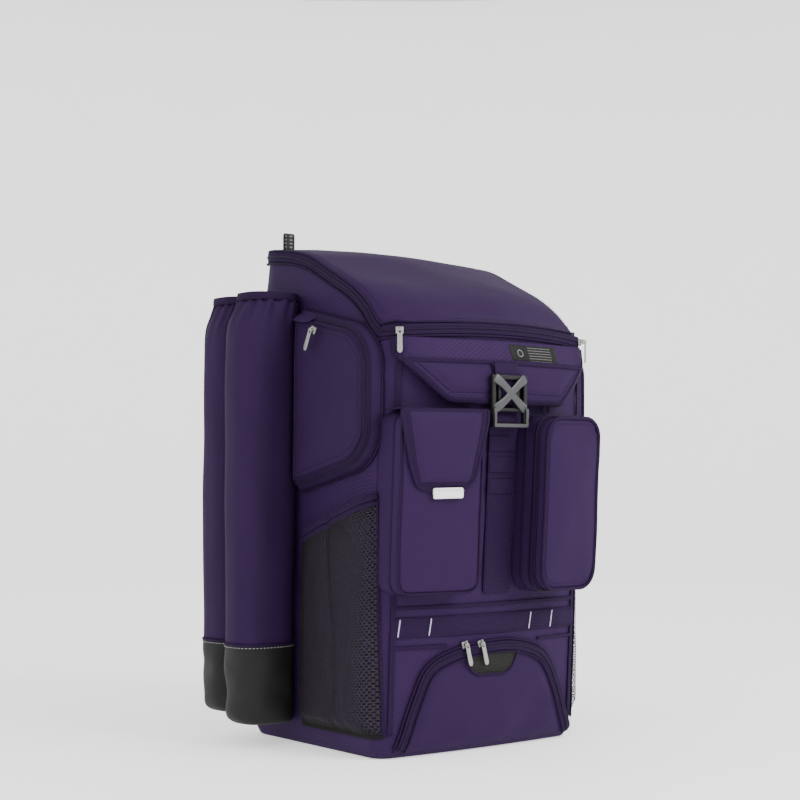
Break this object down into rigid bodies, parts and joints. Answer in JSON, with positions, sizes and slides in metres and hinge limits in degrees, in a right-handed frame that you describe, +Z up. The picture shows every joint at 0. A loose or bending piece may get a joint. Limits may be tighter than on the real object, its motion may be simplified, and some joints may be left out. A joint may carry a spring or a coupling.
{
  "type": "baseball bat backpack",
  "caption": "Tall box-shaped sports backpack with open bat sleeves along its sides, a curved zipped lid, a buckled flap, front box pockets and an arched shoe door.",
  "frame": {"origin": "centre of the base, on the floor", "axes": "+Z up, the front with its flap and pockets faces -Y, the wearer's back faces +Y, +X is to the right seen from the front"},
  "size_m": [0.5152, 0.4539, 0.6877],
  "materials": {
    "ripstop_cloth": "ripstop polyester",
    "smooth_cloth": "smooth coated polyester",
    "webbing": "woven webbing and binding",
    "black_cloth": "coated black polyester",
    "mesh": "open honeycomb mesh",
    "light_tab": "smooth light grey tab",
    "metal": "satin zinc",
    "plastic": "moulded acetal"
  },
  "bodies": {
    "pack": {"body_shell": "ripstop_cloth", "lid_panel": "smooth_cloth", "lid_zip": "webbing", "bottom_door": "smooth_cloth", "vent_mesh": "mesh", "front_flap": "ripstop_cloth", "label_patch": "black_cloth", "closure_strap_upper": "webbing", "closure_strap_lower": "webbing", "buckle_body": "plastic", "buckle_cross": "metal", "centre_webbing": "webbing", "webbing_rung_1": "webbing", "webbing_rung_2": "webbing", "webbing_rung_3": "webbing", "webbing_rung_4": "webbing", "band_webbing": "webbing", "left_pocket": "smooth_cloth", "left_pocket_flap": "smooth_cloth", "pocket_pull_tab": "light_tab", "right_pocket": "smooth_cloth", "sleeve_left_rear": "smooth_cloth", "boot_left_rear": "black_cloth", "sleeve_left_front": "smooth_cloth", "boot_left_front": "black_cloth", "side_pocket_left": "smooth_cloth", "mesh_pocket_left": "mesh", "mesh_binding_left": "webbing", "shoulder_strap_left": "black_cloth", "ladder_lock_left": "plastic", "adjuster_webbing_left": "black_cloth", "sleeve_right_rear": "smooth_cloth", "boot_right_rear": "black_cloth", "sleeve_right_front": "smooth_cloth", "boot_right_front": "black_cloth", "side_pocket_right": "smooth_cloth", "mesh_pocket_right": "mesh", "mesh_binding_right": "webbing", "shoulder_strap_right": "black_cloth", "ladder_lock_right": "plastic", "adjuster_webbing_right": "black_cloth", "back_pad": "black_cloth", "hang_loop": "black_cloth", "slider_lid_left": "metal", "slider_side_left": "metal", "slider_lid_right": "metal", "slider_side_right": "metal", "slider_door_a": "metal", "slider_door_b": "metal"},
    "pull_lid_left": {"pull_lid_left": "metal"},
    "pull_side_left": {"pull_side_left": "metal"},
    "pull_lid_right": {"pull_lid_right": "metal"},
    "pull_side_right": {"pull_side_right": "metal"},
    "pull_door_a": {"pull_door_a": "metal"},
    "pull_door_b": {"pull_door_b": "metal"}
  },
  "joints": [
    {"name": "pull_lid_left_hinge", "type": "hinge", "parent": "pack", "child": "pull_lid_left", "pos_m": [-0.15669, -0.18052, 0.5285], "axis": [-0.818, 0.5752, 0], "range_deg": [0, 150]},
    {"name": "pull_side_left_hinge", "type": "hinge", "parent": "pack", "child": "pull_side_left", "pos_m": [-0.2029, -0.0563, 0.53428], "axis": [0, 0.8944, 0.4472], "range_deg": [0, 150]},
    {"name": "pull_lid_right_hinge", "type": "hinge", "parent": "pack", "child": "pull_lid_right", "pos_m": [0.15669, -0.18052, 0.5285], "axis": [-0.818, -0.5752, 0], "range_deg": [0, 150]},
    {"name": "pull_side_right_hinge", "type": "hinge", "parent": "pack", "child": "pull_side_right", "pos_m": [0.2029, -0.0563, 0.53428], "axis": [0, -0.8944, -0.4472], "range_deg": [0, 150]},
    {"name": "pull_door_a_hinge", "type": "hinge", "parent": "pack", "child": "pull_door_a", "pos_m": [-0.048, -0.17885, 0.138], "axis": [-0.9678, 0, -0.2516], "range_deg": [0, 150]},
    {"name": "pull_door_b_hinge", "type": "hinge", "parent": "pack", "child": "pull_door_b", "pos_m": [-0.0225, -0.17984, 0.138], "axis": [-0.9678, 0, -0.2516], "range_deg": [0, 150]}
  ]
}
